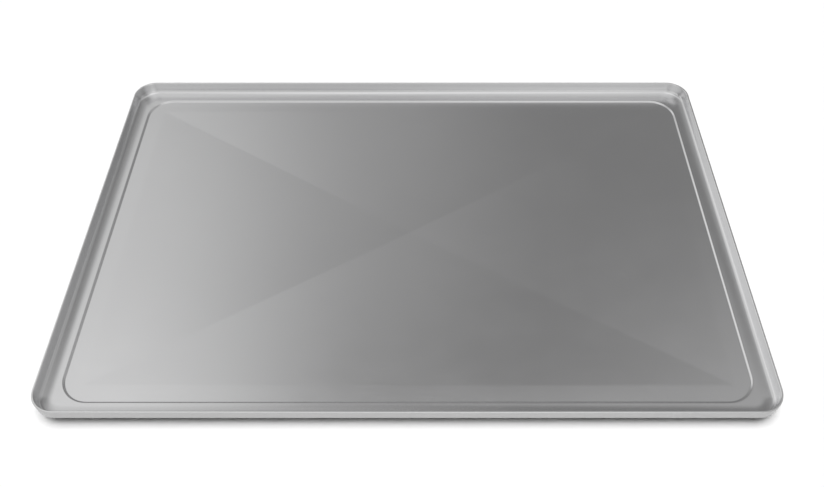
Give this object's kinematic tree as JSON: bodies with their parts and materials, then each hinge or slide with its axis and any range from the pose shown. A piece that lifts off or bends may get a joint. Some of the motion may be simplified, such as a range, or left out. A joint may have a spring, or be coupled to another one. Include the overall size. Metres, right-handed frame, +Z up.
{
  "type": "baking sheet",
  "caption": "Shallow rectangular baking tray pressed from one aluminium sheet, with a low wall, rounded corners, a stepped panel and a cross-creased floor.",
  "frame": {"origin": "under the middle of the tray, at the height of its lowest point, which is the middle of the cross crease", "axes": "+X along the long side, +Y along the short side away from the picture's viewer, +Z up out of the tray's open side"},
  "size_m": [0.6, 0.4, 0.0207],
  "materials": {
    "aluminium_sheet": "fine satin, lightly rolled"
  },
  "bodies": {
    "root": {"pressed_tray": "aluminium_sheet"}
  },
  "joints": []
}
